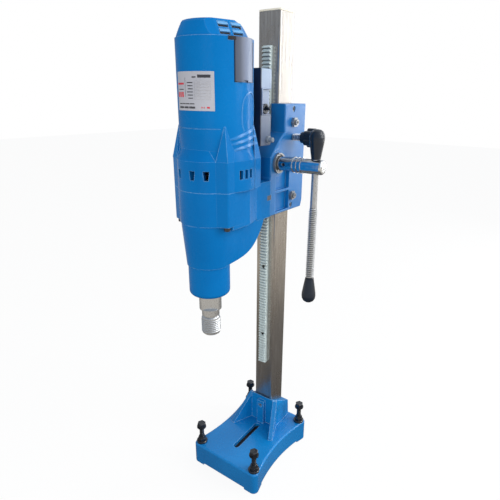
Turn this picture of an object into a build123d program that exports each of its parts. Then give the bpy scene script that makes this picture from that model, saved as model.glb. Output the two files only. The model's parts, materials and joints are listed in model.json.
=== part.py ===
from build123d import *
import os
from math import acos, cos, pi, radians, sin, sqrt, tan

os.makedirs("parts", exist_ok=True)

# Frame: Z up, floor at Z = 0, column axis on X = Y = 0, drill in front on -Y, feed bar on +X.

# ---- driving dimensions, mm ----
COLUMN = 46.0
COLUMN_WALL = 4.0
COLUMN_FOOT = 12.0
COLUMN_TOP = 909.0
CAP_TOP = 912.0

BASE_HALF = 88.2
BASE_FRONT = -173.0
BASE_BACK = 38.0
BASE_WAIST = 16.7
PLATE_TOP = 49.0
PLATE_SKIN = 9.0
FOOT_RISE = 4.5
TOWER_TOP = 119.5
TOWER_BACK = 88.0
BOLT_X = 71.2
BOLT_FRONT = -158.4
BOLT_BACK = 23.7
BOLT_R = 5.0

RUN = 0.05

RACK_MODULE = 2.0
RACK_PITCH = pi * RACK_MODULE
RACK_WIDTH = 16.0
RACK_LINE = -31.0
RACK_TIP = RACK_LINE - RACK_MODULE
RACK_ROOT = RACK_LINE + 1.25 * RACK_MODULE
RACK_FACE = -COLUMN / 2
FEED_TEETH = 18
FEED_Y = RACK_LINE - FEED_TEETH * RACK_MODULE / 2
FEED_Z = 660.5
RACK_BELOW = 71
RACK_ABOVE = 31
RACK_SCREW_STEPS = (-59.5, -34.5, -9.5, 15.5)

CAR_HALF = 42.0
CAR_FRONT = -29.0
CAR_BACK = 43.0
CAR_TOP = 761.0
CAR_FOOT = 565.0
SLOT_HALF = 28.0
CHANNEL_HALF = 11.5
JOINT_Y = -74.0
PAD_HEIGHTS = (752.0, 729.0, 594.0, 575.0)
NUT_HEIGHTS = (729.0, 594.0)
LOCK_Z = 703.0
KEY_Z = 601.5
KEY_FRONT = -84.0
KEY_BACK = -69.8
MOUNT_X = 22.0
MOUNT_Z = (583.0, 619.0)
BUSH_R = 14.0
SHAFT_R = 9.0
HUB_R = 12.5
HUB_END = 134.0
BAR_X = 118.0
BAR_R = 6.0

SPINDLE_Y = -195.5
MOTOR_Y = -168.0
LAY_Y = -146.0
NECK_R = 35.5
NECK_FOOT = 448.0
SEAM = 632.0
LOBE_X = 50.0
BAY_X = 40.0  # half width of the bulged front bay
BAY_Y = -219.0
BAY_FRONT = -238.0
BAY_R = 51.61  # radius of that bay
LOBE_FOOT = 578.0  # underside of the lobes at their screws
LOBE_DY = 38.5
LOBE_R = 8.0
HOUSING_R = 58.7
FAN_R = 64.0
HOUSING_TOP = 850.0


def involute(angle):
    return tan(angle) - angle


def gear_points(module, teeth, phase, addendum=1.0, thinning=0.06, steps=5):
    """Corner points of a 20 degree involute spur gear, one tooth centred on the phase angle."""
    pitch_r = module * teeth / 2
    base_r = pitch_r * cos(radians(20))
    tip_r = pitch_r + addendum * module
    root_r = pitch_r - 1.25 * module
    start_r = max(base_r, root_r)
    half_pitch = pi / (2 * teeth) - thinning / (2 * pitch_r) + involute(radians(20))
    flank = []
    for i in range(steps + 1):
        r = start_r + (tip_r - start_r) * i / steps
        flank.append((r, half_pitch - involute(acos(base_r / r))))
    if root_r < base_r:
        flank.insert(0, (root_r, flank[0][1]))
    points = []
    for k in range(teeth):
        centre = radians(phase) + 2 * pi * k / teeth
        for r, half in flank:
            points.append((r * cos(centre - half), r * sin(centre - half)))
        for r, half in reversed(flank):
            points.append((r * cos(centre + half), r * sin(centre + half)))
    return points


def sector(r_in, r_out, a0, a1):
    """Ring sector between two angles, drawn in the current sketch."""
    mid = radians((a0 + a1) / 2)
    a0 = radians(a0)
    a1 = radians(a1)
    with BuildLine() as outline:
        Line((r_in * cos(a0), r_in * sin(a0)), (r_out * cos(a0), r_out * sin(a0)))
        ThreePointArc(
            (r_out * cos(a0), r_out * sin(a0)),
            (r_out * cos(mid), r_out * sin(mid)),
            (r_out * cos(a1), r_out * sin(a1)),
        )
        Line((r_out * cos(a1), r_out * sin(a1)), (r_in * cos(a1), r_in * sin(a1)))
        ThreePointArc(
            (r_in * cos(a1), r_in * sin(a1)),
            (r_in * cos(mid), r_in * sin(mid)),
            (r_in * cos(a0), r_in * sin(a0)),
        )
    make_face(outline.edges())


def ring(centre_y, z, height, r_in, r_out, mode=Mode.ADD):
    """Upright ring on the X = 0 plane."""
    with BuildSketch(Plane.XY.offset(z)) as section:
        with Locations((0, centre_y)):
            Circle(r_out)
            if r_in > 0:
                Circle(r_in, mode=Mode.SUBTRACT)
    extrude(section.sketch, amount=height, mode=mode)


def x_rod(y, z, x0, x1, radius, mode=Mode.ADD):
    """Cylinder along X from x0 to x1."""
    with BuildSketch(Plane.YZ.offset(x0)) as section:
        with Locations((y, z)):
            Circle(radius)
    extrude(section.sketch, amount=x1 - x0, mode=mode)


def y_rod(x, z, y0, y1, radius, mode=Mode.ADD):
    """Cylinder along Y from y0 to y1."""
    with BuildSketch(Plane.XZ.offset(-y0)) as section:
        with Locations((x, z)):
            Circle(radius)
    extrude(section.sketch, amount=y0 - y1, mode=mode)


def block(x0, x1, y0, y1, z0, z1, mode=Mode.ADD):
    """Box given by its limits."""
    with Locations(((x0 + x1) / 2, (y0 + y1) / 2, (z0 + z1) / 2)):
        Box(x1 - x0, y1 - y0, z1 - z0, mode=mode)


def turned_plane(y, z, turn=0.0):
    """Level plane on the X = 0 plane, turned about Z by an angle in degrees."""
    return Plane(origin=(0, y, z), x_dir=(cos(radians(turn)), sin(radians(turn)), 0), z_dir=(0, 0, 1))


def save(part, name):
    part.label = name
    export_step(part, f"parts/{name}.step")


# ---- stand ----
def base_outline(inset):
    mid = (BASE_FRONT + BASE_BACK) / 2
    half = BASE_HALF - inset
    front = BASE_FRONT + inset
    back = BASE_BACK - inset
    waist = half - BASE_WAIST
    with BuildLine() as outline:
        Line((-half, front), (half, front))
        ThreePointArc((half, front), (waist, mid), (half, back))
        Line((half, back), (-half, back))
        ThreePointArc((-half, back), (-waist, mid), (-half, front))
    make_face(outline.edges())


def bolt_places():
    return [(-BOLT_X, BOLT_FRONT), (BOLT_X, BOLT_FRONT), (BOLT_X, BOLT_BACK), (-BOLT_X, BOLT_BACK)]


def gusset(side):
    """Splayed web from a tower corner to its toe on the plate."""
    along = Vector(side * 21, -50, 0).normalized()
    start = Vector(side * 33, -24, PLATE_TOP)
    web = Plane(origin=start, x_dir=along, z_dir=along.cross(Vector(0, 0, 1)))
    with BuildSketch(web) as section:
        with BuildLine():
            Polyline((-6, -4), (-6, 66), (0, 67), (50, 3), (52, -4), close=True)
        make_face()
    extrude(section.sketch, amount=4.6, both=True)


def build_base():
    with BuildPart() as base:
        with BuildSketch():
            base_outline(0)
            fillet(vertices(), 11)
        extrude(amount=PLATE_TOP)
        fillet(base.faces().sort_by(Axis.Z)[-1].edges(), 4)
        with BuildSketch(Plane.XZ.offset(27)):
            with BuildLine():
                Polyline(
                    (-38, 40),
                    (38, 40),
                    (35, 98),
                    (28, TOWER_TOP),
                    (-28, TOWER_TOP),
                    (-35, 98),
                    close=True,
                )
            make_face()
            fillet(vertices().group_by(Axis.Y)[1], 5)
        extrude(amount=-58)
        # the collar falls away towards the back
        with BuildSketch(Plane.YZ):
            with BuildLine():
                Polyline((-27, TOWER_TOP), (31, TOWER_BACK), (40, TOWER_BACK), (40, 140), (-27, 140), close=True)
            make_face()
        extrude(amount=60, both=True, mode=Mode.SUBTRACT)
        gusset(1)
        gusset(-1)
        block(-9, 9, -35, -26, 45, 110)
        # hollow underside with a solid socket block, bolt bosses and two ribs beside the slot
        with BuildSketch():
            base_outline(9)
            with Locations(*bolt_places()):
                Circle(14, mode=Mode.SUBTRACT)
            with Locations((0, 0)):
                Rectangle(80, 64, mode=Mode.SUBTRACT)
            with Locations((-22, -100), (22, -100)):
                Rectangle(6, 150, mode=Mode.SUBTRACT)
        extrude(amount=PLATE_TOP - PLATE_SKIN, mode=Mode.SUBTRACT)
        # the rim is cut back between the feet
        with BuildSketch():
            base_outline(-2)
            with Locations(*bolt_places()):
                Rectangle(30, 34, mode=Mode.SUBTRACT)
            with Locations((0, 0)):
                Rectangle(56, 56, mode=Mode.SUBTRACT)
        extrude(amount=FOOT_RISE, mode=Mode.SUBTRACT)
        with BuildSketch(Plane.XY.offset(COLUMN_FOOT)):
            RectangleRounded(COLUMN + 2 * RUN, COLUMN + 2 * RUN, 4)
        extrude(amount=TOWER_TOP, mode=Mode.SUBTRACT)
        with BuildSketch(Plane.XY.offset(30)):
            with Locations((0, -85.5)):
                SlotOverall(91, 13, rotation=90)
        extrude(amount=30, mode=Mode.SUBTRACT)
        with BuildSketch():
            with Locations(*bolt_places()):
                Circle(BOLT_R + RUN)
        extrude(amount=PLATE_TOP + 2, mode=Mode.SUBTRACT)
        y_rod(0, 99, -36, -20, 5 + RUN, Mode.SUBTRACT)
    save(base.part, "base")


def build_socket_screw():
    with BuildPart() as screw:
        y_rod(0, 99, -34, -23.1, 5)
        with BuildSketch(Plane.XZ.offset(34)):
            with Locations((0, 99)):
                RegularPolygon(2.9, 6)
        extrude(amount=-4, mode=Mode.SUBTRACT)
    save(screw.part, "socket_screw")


def build_column():
    with BuildPart() as column:
        with BuildSketch(Plane.XY.offset(COLUMN_FOOT)):
            RectangleRounded(COLUMN, COLUMN, 4)
            inner = COLUMN - 2 * COLUMN_WALL
            RectangleRounded(inner, inner, 1.5, mode=Mode.SUBTRACT)
        extrude(amount=COLUMN_TOP - COLUMN_FOOT)
        for step in RACK_SCREW_STEPS:
            z = FEED_Z + step * RACK_PITCH
            y_rod(0, z, -24, -18, 2.5 + RUN, Mode.SUBTRACT)
    save(column.part, "column")


def build_column_cap():
    with BuildPart() as cap:
        with BuildSketch(Plane.XY.offset(COLUMN_TOP)):
            RectangleRounded(COLUMN, COLUMN, 4)
        extrude(amount=CAP_TOP - COLUMN_TOP)
        chamfer(cap.faces().sort_by(Axis.Z)[-1].edges(), 0.8)
        plug = COLUMN - 2 * COLUMN_WALL - 0.2
        with BuildSketch(Plane.XY.offset(COLUMN_TOP - 12)):
            RectangleRounded(plug, plug, 1.5)
            RectangleRounded(plug - 5, plug - 5, 1, mode=Mode.SUBTRACT)
        extrude(amount=12)
    save(cap.part, "column_cap")


def build_rack():
    slope = tan(radians(20))
    half = RACK_PITCH / 4 - 0.05
    tip = half - RACK_MODULE * slope
    root = half + 1.25 * RACK_MODULE * slope
    low = FEED_Z - RACK_BELOW * RACK_PITCH
    high = FEED_Z + RACK_ABOVE * RACK_PITCH
    points = [(RACK_FACE, low), (RACK_ROOT, low)]
    for k in range(RACK_BELOW + RACK_ABOVE):
        z = low + (k + 0.5) * RACK_PITCH
        points += [(RACK_ROOT, z - root), (RACK_TIP, z - tip), (RACK_TIP, z + tip), (RACK_ROOT, z + root)]
    points += [(RACK_ROOT, high), (RACK_FACE, high)]
    with BuildPart() as rack:
        with BuildSketch(Plane.YZ):
            with BuildLine():
                Polyline(*points, close=True)
            make_face()
        extrude(amount=RACK_WIDTH / 2, both=True)
        for step in RACK_SCREW_STEPS:
            z = FEED_Z + step * RACK_PITCH
            y_rod(0, z, -34, -26, 4.4, Mode.SUBTRACT)
            y_rod(0, z, -27, -22, 2.8, Mode.SUBTRACT)
    save(rack.part, "rack")


def build_rack_screws():
    with BuildPart() as screws:
        for step in RACK_SCREW_STEPS:
            z = FEED_Z + step * RACK_PITCH
            y_rod(0, z, -28.4, -26, 4.2)
            y_rod(0, z, -26, -19.4, 2.5)
            with BuildSketch(Plane.XZ.offset(28.4)):
                with Locations((0, z)):
                    RegularPolygon(1.8, 6)
            extrude(amount=-1.4, mode=Mode.SUBTRACT)
    save(screws.part, "rack_screws")


def build_levelling_bolt(name, x, y):
    with BuildPart() as bolt:
        with BuildSketch(Plane.XY.offset(0.5)):
            with Locations((x, y)):
                Circle(BOLT_R)
        extrude(amount=88.5)
        chamfer(bolt.edges().sort_by(Axis.Z)[0], 1)
        with BuildSketch(Plane.XY.offset(88)):
            with Locations((x, y)):
                Circle(10)
        extrude(amount=2.6)
        with BuildSketch(Plane.XY.offset(90.6)):
            with Locations((x, y)):
                RegularPolygon(9.2, 6)
        extrude(amount=9)
        chamfer(bolt.faces().sort_by(Axis.Z)[-1].edges(), 1.3)
    save(bolt.part, name)


def build_jam_nuts():
    with BuildPart() as nuts:
        with Locations(*[(x, y, PLATE_TOP) for x, y in bolt_places()]):
            Cylinder(11.8, 4.5, align=(Align.CENTER, Align.CENTER, Align.MIN))
        chamfer(nuts.edges().group_by(Axis.Z)[-1], 1)
        with BuildSketch(Plane.XY.offset(PLATE_TOP + 4.5)):
            with Locations(*bolt_places()):
                RegularPolygon(9.6, 6)
        extrude(amount=6)
        with Locations(*[(x, y, PLATE_TOP + 10.5) for x, y in bolt_places()]):
            Cone(8.2, 6.4, 5.5, align=(Align.CENTER, Align.CENTER, Align.MIN))
        with Locations(*[(x, y, PLATE_TOP - 1) for x, y in bolt_places()]):
            hole_align = (Align.CENTER, Align.CENTER, Align.MIN)
            Cylinder(BOLT_R + RUN, 20, align=hole_align, mode=Mode.SUBTRACT)
    save(nuts.part, "jam_nuts")


# ---- carriage ----
def side_pocket(side):
    """Shallow pocket in a carriage cheek, with the feed boss and a rib left standing."""
    with BuildSketch(Plane.YZ.offset(side * (CAR_HALF + 1))) as section:
        with BuildLine():
            Polyline((-56, 570), (-9, 570), (-9, 650), (-56, 650), close=True)
        make_face()
        with Locations((FEED_Y, FEED_Z)):
            Circle(24, mode=Mode.SUBTRACT)
        with Locations((-32, 608)):
            Rectangle(60, 4, mode=Mode.SUBTRACT)
    extrude(section.sketch, amount=-side * 9.5, mode=Mode.SUBTRACT)


def build_carriage():
    with BuildPart() as carriage:
        with BuildSketch(Plane.YZ):
            with BuildLine():
                Polyline(
                    (CAR_BACK, CAR_TOP),
                    (CAR_BACK, 579),
                    (38, CAR_FOOT),
                    (JOINT_Y, CAR_FOOT + 1),
                    (JOINT_Y, 634),
                    (-72.5, 637),
                    (-72.5, 672),
                    (-47, 699),
                    (CAR_FRONT, 712),
                    (CAR_FRONT, CAR_TOP),
                    close=True,
                )
            make_face()
        extrude(amount=CAR_HALF, both=True)
        cheeks = carriage.faces().filter_by(Axis.X)
        chamfer(cheeks.edges(), 1.6)
        # column passage, rack channel and pinion space
        block(-SLOT_HALF, SLOT_HALF, -25, 27, 500, 800, Mode.SUBTRACT)
        block(-CHANNEL_HALF, CHANNEL_HALF, -36, -20, 500, 800, Mode.SUBTRACT)
        x_rod(FEED_Y, FEED_Z, -CHANNEL_HALF, CHANNEL_HALF, 20.7, Mode.SUBTRACT)
        x_rod(FEED_Y, FEED_Z, -60, 60, BUSH_R + 0.02, Mode.SUBTRACT)
        side_pocket(1)
        side_pocket(-1)
        # lightening pockets in the back wall
        block(-30, 30, 34, 50, 672, 748, Mode.SUBTRACT)
        block(-30, 30, 34, 50, 584, 660, Mode.SUBTRACT)
        for z in PAD_HEIGHTS:
            x_rod(0, z, 20, 60, 5 + RUN, Mode.SUBTRACT)
        x_rod(0, LOCK_Z, 20, 60, 5 + RUN, Mode.SUBTRACT)
        block(-60, 60, -90, KEY_BACK, KEY_Z - 4.5, KEY_Z + 4.5, Mode.SUBTRACT)
        for x in (-MOUNT_X, MOUNT_X):
            for z in MOUNT_Z:
                y_rod(x, z, -75, -24, 4 + RUN, Mode.SUBTRACT)
                y_rod(x, z, -60, -24, 7, Mode.SUBTRACT)
    save(carriage.part, "carriage")


def build_guide_pads():
    gap = COLUMN / 2 + RUN
    with BuildPart() as pads:
        for z0, z1 in ((717, 759), (567, 603)):
            block(gap, SLOT_HALF - 0.05, -12, 12, z0, z1)
            block(-SLOT_HALF, -gap, -12, 12, z0, z1)
            block(-14, 14, gap, 27, z0, z1)
            block(12.5, 22, -25, -gap, z0, z1)
            block(-22, -12.5, -25, -gap, z0, z1)
    save(pads.part, "guide_pads")


def build_pad_screws():
    with BuildPart() as screws:
        for z in PAD_HEIGHTS:
            end = 51 if z in NUT_HEIGHTS else 40.5
            x_rod(0, z, SLOT_HALF + 0.05, end, 5)
            with BuildSketch(Plane.YZ.offset(end)):
                with Locations((0, z)):
                    RegularPolygon(2.9, 6)
            extrude(amount=-4, mode=Mode.SUBTRACT)
    save(screws.part, "pad_screws")


def build_pad_nuts():
    with BuildPart() as nuts:
        for z in NUT_HEIGHTS:
            with BuildSketch(Plane.YZ.offset(CAR_HALF)):
                with Locations((0, z)):
                    RegularPolygon(9.2, 6)
                    Circle(5 + RUN, mode=Mode.SUBTRACT)
            extrude(amount=5.2)
    save(nuts.part, "pad_nuts")


def build_flange_key():
    with BuildPart() as key:
        block(-41.8, 41.8, KEY_FRONT + 0.05, KEY_BACK - 0.05, KEY_Z - 4.45, KEY_Z + 4.45)
        chamfer(key.edges().filter_by(Axis.X), 0.5)
    save(key.part, "flange_key")


def build_feed_bushes():
    with BuildPart() as bushes:
        for side in (1, -1):
            x_rod(FEED_Y, FEED_Z, side * 12, side * CAR_HALF, BUSH_R)
            x_rod(FEED_Y, FEED_Z, side * CAR_HALF, side * 46.4, 18)
            with BuildSketch(Plane.YZ.offset(side * 46.4)):
                with Locations((FEED_Y, FEED_Z)):
                    Circle(15.2)
                    Circle(12.4, mode=Mode.SUBTRACT)
            extrude(amount=-side * 2.6, mode=Mode.SUBTRACT)
        x_rod(FEED_Y, FEED_Z, -60, 60, SHAFT_R + RUN, Mode.SUBTRACT)
    save(bushes.part, "feed_bushes")


def build_feed_shaft():
    with BuildPart() as shaft:
        x_rod(FEED_Y, FEED_Z, -51, 47, SHAFT_R)
        x_rod(FEED_Y, FEED_Z, 47, 72, 8)
        with BuildSketch(Plane(origin=(-9, FEED_Y, FEED_Z), x_dir=(0, 1, 0), z_dir=(1, 0, 0))):
            with BuildLine():
                Polyline(*gear_points(RACK_MODULE, FEED_TEETH, 0), close=True)
            make_face()
        extrude(amount=18)
        with BuildSketch(Plane.YZ.offset(-49.2)):
            with Locations((FEED_Y, FEED_Z)):
                Circle(12)
                Circle(8, mode=Mode.SUBTRACT)
        extrude(amount=2, mode=Mode.SUBTRACT)
    save(shaft.part, "feed_shaft")


def build_feed_ring():
    with BuildPart() as clip:
        with BuildSketch(Plane.YZ.offset(-49.1)):
            with Locations((FEED_Y, FEED_Z)):
                Circle(12.5)
                Circle(8.02, mode=Mode.SUBTRACT)
        extrude(amount=1.8)
    save(clip.part, "feed_ring")


def build_feed_hub():
    with BuildPart() as hub:
        x_rod(FEED_Y, FEED_Z, 47.2, HUB_END, HUB_R)
        fillet(hub.edges().sort_by(Axis.X)[-1], 4.5)
        for x in (76.2, 84.3, 92.4):
            x_rod(FEED_Y, FEED_Z, x - 1.2, x + 1.2, HUB_R + 1.4)
        x_rod(FEED_Y, FEED_Z, 46, 72.4, 8.03, Mode.SUBTRACT)
        with BuildSketch(Plane.XY.offset(FEED_Z - 20)):
            with Locations((BAR_X, FEED_Y)):
                Circle(BAR_R + RUN)
        extrude(amount=40, mode=Mode.SUBTRACT)
        y_rod(60.5, FEED_Z, FEED_Y - 14, FEED_Y, 3.03, Mode.SUBTRACT)
    save(hub.part, "feed_hub")


def build_hub_screw():
    with BuildPart() as screw:
        y_rod(60.5, FEED_Z, FEED_Y - 12, FEED_Y - 8.1, 3)
        with BuildSketch(Plane.XZ.offset(12 - FEED_Y)):
            with Locations((60.5, FEED_Z)):
                RegularPolygon(1.7, 6)
        extrude(amount=-2, mode=Mode.SUBTRACT)
    save(screw.part, "hub_screw")


def turned(x, y, outline):
    """Solid of revolution about the upright line through (x, y); outline is (radius, z) pairs."""
    with BuildSketch(Plane.XZ.offset(-y)) as section:
        with BuildLine():
            Polyline(*[(x + r, z) for r, z in outline], close=True)
        make_face()
    revolve(section.sketch, axis=Axis((x, y, 0), (0, 0, 1)))


def build_feed_bar():
    ridge = 5.0
    outline = [(0, 702), (BAR_R, 702), (BAR_R, 590)]
    for k in range(27):
        z = 590 - k * ridge
        outline += [(7.3, z - 1.0), (7.3, z - 3.4), (6.3, z - ridge + 0.6), (6.3, z - ridge)]
    outline += [(5, 455), (5, 428), (0, 428)]
    with BuildPart() as bar:
        turned(BAR_X, FEED_Y, outline)
    save(bar.part, "feed_bar")


def grip_outline(foot, tip, way):
    """Pear shaped grip; way is +1 when the wide end is at the top."""
    return [
        (8.0, foot),
        (13.0, foot + way * 30),
        (13.3, foot + way * 36),
        (12.6, foot + way * 41),
        (10.2, foot + way * 45.5),
        (6.5, foot + way * 48.3),
        (0, tip),
    ]


def build_bar_grips():
    with BuildPart() as grips:
        upper = grip_outline(673.4, 723.0, 1)
        turned(BAR_X, FEED_Y, upper + [(0, 702.5), (BAR_R + 0.03, 702.5), (BAR_R + 0.03, 673.4)])
        lower = grip_outline(455.0, 405.4, -1)
        turned(BAR_X, FEED_Y, lower + [(0, 427.5), (5.03, 427.5), (5.03, 455.0)])
    save(grips.part, "bar_grips")


def build_lock_stud():
    with BuildPart() as stud:
        x_rod(0, LOCK_Z, SLOT_HALF, 68, 5)
        chamfer(stud.edges().sort_by(Axis.X)[0], 1)
    save(stud.part, "lock_stud")


def build_lock_knob():
    with BuildPart() as knob:
        x_rod(0, LOCK_Z, 61.5, 73, 10)
        with BuildSketch(Plane.YZ.offset(72)):
            with Locations((0, LOCK_Z)):
                Circle(13)
                with PolarLocations(11.8, 5):
                    Circle(5.6)
        extrude(amount=16)
        chamfer(knob.faces().sort_by(Axis.X)[-1].edges(), 1.2)
        x_rod(0, LOCK_Z, 59, 68.2, 5.03, Mode.SUBTRACT)
    save(knob.part, "lock_knob")


def build_lock_pad():
    with BuildPart() as pad:
        x_rod(0, LOCK_Z, 23.7, 27.9, 9)
    save(pad.part, "lock_pad")


# ---- gearbox ----
def lobe_places():
    return [(-LOBE_X, MOTOR_Y - LOBE_DY), (LOBE_X, MOTOR_Y - LOBE_DY)]


def body_plan(half):
    """Round front on the spindle axis with straight cheeks running back to the joint."""
    with BuildLine() as outline:
        Line((-half, JOINT_Y), (half, JOINT_Y))
        Line((half, JOINT_Y), (half, SPINDLE_Y))
        ThreePointArc((half, SPINDLE_Y), (0, SPINDLE_Y - half), (-half, SPINDLE_Y))
        Line((-half, SPINDLE_Y), (-half, JOINT_Y))
    make_face(outline.edges())


def front_plan(grow=0.0):
    """Bulged front between the two lobes, flat flanks, and bevels running back to the rear block."""
    corner = (LOBE_X + 7.3 + grow, SPINDLE_Y - 15.7 - grow)
    flank = (57.0 + grow, -155.0)
    heel = (43.2, -116.0)
    right = [(BAY_X, BAY_Y), corner, flank, heel]
    left = [(-x, y) for x, y in reversed(right)]
    with BuildLine() as outline:
        ThreePointArc((-BAY_X, BAY_Y), (0, BAY_FRONT), (BAY_X, BAY_Y))
        Polyline(*right, *left)
    make_face(outline.edges())


def skirt_plan():
    """Flanks and rear bevels only, which hang below the front of the lobes."""
    right = [(57.0, -199.5), (57.0, -155.0), (43.2, -116.0)]
    left = [(-x, y) for x, y in reversed(right)]
    with BuildLine() as outline:
        Polyline(*right, *left, right[0])
    make_face(outline.edges())


def build_gearbox():
    with BuildPart() as gearbox:
        # lower body: tapers from the full width down to the neck
        with BuildSketch(Plane.XY.offset(572)):
            body_plan(43.0)
        with BuildSketch(Plane.XY.offset(504)):
            body_plan(37.3)
        loft(ruled=True)
        # the underside sweeps up from the neck to the foot of the rear block
        with BuildSketch(Plane.YZ):
            with BuildLine():
                low = Spline((SPINDLE_Y, 505), (-160, 508), (-126, 518), (-104, 541), (-93, 566))
                Line(low @ 1, (-60, 566))
                Line((-60, 566), (-60, 480))
                Line((-60, 480), (SPINDLE_Y, 480))
                Line((SPINDLE_Y, 480), low @ 0)
            make_face()
        extrude(amount=70, both=True, mode=Mode.SUBTRACT)
        # upper body with two front lobes and wide flanks
        with BuildSketch(Plane.XY.offset(LOBE_FOOT)) as upper:
            front_plan()
            fillet(upper.vertices().sort_by(Axis.Y)[2:4], 3.5)
        extrude(amount=SEAM - LOBE_FOOT)
        with BuildSketch(Plane.XY.offset(572)):
            body_plan(43.0)
        extrude(amount=LOBE_FOOT - 572)
        with BuildSketch(Plane.XY.offset(572)):
            skirt_plan()
        extrude(amount=LOBE_FOOT - 572)
        block(-28, 28, -150, -110, 566, SEAM)
        # rear mounting block
        block(-43, 43, -116, -74, 567, SEAM)
        # neck
        with BuildSketch(Plane.XY.offset(NECK_FOOT)):
            with Locations((0, SPINDLE_Y)):
                Circle(NECK_R)
        extrude(amount=64)
        fillet(gearbox.edges().group_by(Axis.Z)[0], 8)
        # gear chamber, cover seat and bearing seats
        with BuildSketch(Plane.XY.offset(563)):
            with Locations((0, SPINDLE_Y)):
                Circle(39.2)
            with Locations((0, LAY_Y)):
                Circle(21)
            with Locations((0, MOTOR_Y)):
                Rectangle(42, 44)
        extrude(amount=SEAM - 563, mode=Mode.SUBTRACT)
        with BuildSketch(Plane.XY.offset(614)):
            cover_plan(0.0)
        extrude(amount=20, mode=Mode.SUBTRACT)
        ring(LAY_Y, 556, 10, 0, 11.02, Mode.SUBTRACT)
        ring(SPINDLE_Y, 454, 112, 0, 26.02, Mode.SUBTRACT)
        ring(SPINDLE_Y, 440, 20, 0, 20.02, Mode.SUBTRACT)
        # screw and bolt holes, key groove
        with BuildSketch(Plane.XY.offset(560)):
            with Locations(*lobe_places()):
                Circle(3 + RUN)
        extrude(amount=90, mode=Mode.SUBTRACT)
        for x in (-MOUNT_X, MOUNT_X):
            for z in MOUNT_Z:
                y_rod(x, z, -98, -70, 4 + RUN, Mode.SUBTRACT)
        block(-60, 60, KEY_FRONT, -60, KEY_Z - 4.5, KEY_Z + 4.5, Mode.SUBTRACT)
    save(gearbox.part, "gearbox")


def cover_plan(inset):
    with Locations((0, SPINDLE_Y)):
        Circle(40.8 - inset)
    with Locations((0, LAY_Y)):
        Circle(22.5 - inset)
    with Locations((0, MOTOR_Y)):
        Rectangle(45 - 2 * inset, 44)


def build_gearbox_cover():
    with BuildPart() as cover:
        with BuildSketch(Plane.XY.offset(614)):
            cover_plan(0.1)
        extrude(amount=14)
        ring(SPINDLE_Y, 600, 14, 0, 18.5)
        ring(LAY_Y, 608.6, 6, 0, 13.2)
        ring(SPINDLE_Y, 598, 12, 0, 16.02, Mode.SUBTRACT)
        ring(SPINDLE_Y, 609, 3, 0, 9, Mode.SUBTRACT)
        ring(LAY_Y, 607, 8.6, 0, 11.02, Mode.SUBTRACT)
        ring(MOTOR_Y, 618, 12, 0, 14.02, Mode.SUBTRACT)
        ring(MOTOR_Y, 600, 20, 0, 8.2, Mode.SUBTRACT)
    save(cover.part, "gearbox_cover")


def socket_screws(name, places, z0, shank, head, r_shank, r_head):
    """Upright socket head screws with the head underneath."""
    with BuildPart() as screws:
        with BuildSketch(Plane.XY.offset(z0)):
            with Locations(*places):
                Circle(r_head)
                RegularPolygon(r_head * 0.55, 6, mode=Mode.SUBTRACT)
        extrude(amount=head * 0.6)
        with BuildSketch(Plane.XY.offset(z0 + head * 0.6)):
            with Locations(*places):
                Circle(r_head)
        extrude(amount=head * 0.4)
        with BuildSketch(Plane.XY.offset(z0 + head)):
            with Locations(*places):
                Circle(r_shank)
        extrude(amount=shank)
    save(screws.part, name)


def build_mount_bolts():
    with BuildPart() as bolts:
        for x in (-MOUNT_X, MOUNT_X):
            for z in MOUNT_Z:
                y_rod(x, z, -60, -96, 4)
                y_rod(x, z, -52, -60, 6.5)
                with BuildSketch(Plane.XZ.offset(52)):
                    with Locations((x, z)):
                        RegularPolygon(3.4, 6)
                extrude(amount=4, mode=Mode.SUBTRACT)
    save(bolts.part, "mount_bolts")


def build_spindle():
    outline = [
        (0, 368.5),
        (13.9, 368.5),
        (15.875, 370.5),
        (15.875, 401.5),
        (13.6, 403.5),
        (13.6, 405.5),
        (15.6, 405.5),
        (15.6, 416.5),
        (19.6, 418),
        (19.6, 445.5),
        (15.0, 445.5),
        (15.0, 454),
        (12.5, 454),
        (12.5, 470),
        (16.0, 470),
        (16.0, 480),
        (14.5, 480),
        (14.5, 569),
        (13.0, 569),
        (13.0, 592),
        (7.5, 593),
        (7.5, 611),
        (0, 611),
    ]
    with BuildPart() as spindle:
        turned(0, SPINDLE_Y, outline)
        # two wrench flats on the collar
        with Locations((0, SPINDLE_Y, 432.75)):
            with Locations(Location((0, 0, 0), (0, 0, -49))):
                with Locations((23.6, 0, 0), (-23.6, 0, 0)):
                    Box(20, 50, 26.5, mode=Mode.SUBTRACT)
        with Locations((0, SPINDLE_Y, 590)):
            with Locations((12.5, 0, 0)):
                Box(5, 5, 30, mode=Mode.SUBTRACT)
        ring(SPINDLE_Y, 355, 60, 0, 6, Mode.SUBTRACT)
    save(spindle.part, "spindle")


def build_spindle_key():
    with BuildPart() as key:
        block(10.05, 15.0, SPINDLE_Y - 2.45, SPINDLE_Y + 2.45, 575.05, 589.5)
    save(key.part, "spindle_key")


def spur_gear(name, y, z, height, module, teeth, phase, bore, addendum=1.0, key=False, web=None):
    with BuildPart() as gear:
        with BuildSketch(turned_plane(y, z)):
            with BuildLine():
                Polyline(*gear_points(module, teeth, phase, addendum), close=True)
            make_face()
            Circle(bore, mode=Mode.SUBTRACT)
        extrude(amount=height)
        if web:
            for level in (z, z + height - 5):
                ring(y, level, 5, web[0], web[1], Mode.SUBTRACT)
        if key:
            block(8, 15.1, y - 2.5, y + 2.5, z - 1, z + height + 1, Mode.SUBTRACT)
    save(gear.part, name)


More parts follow.
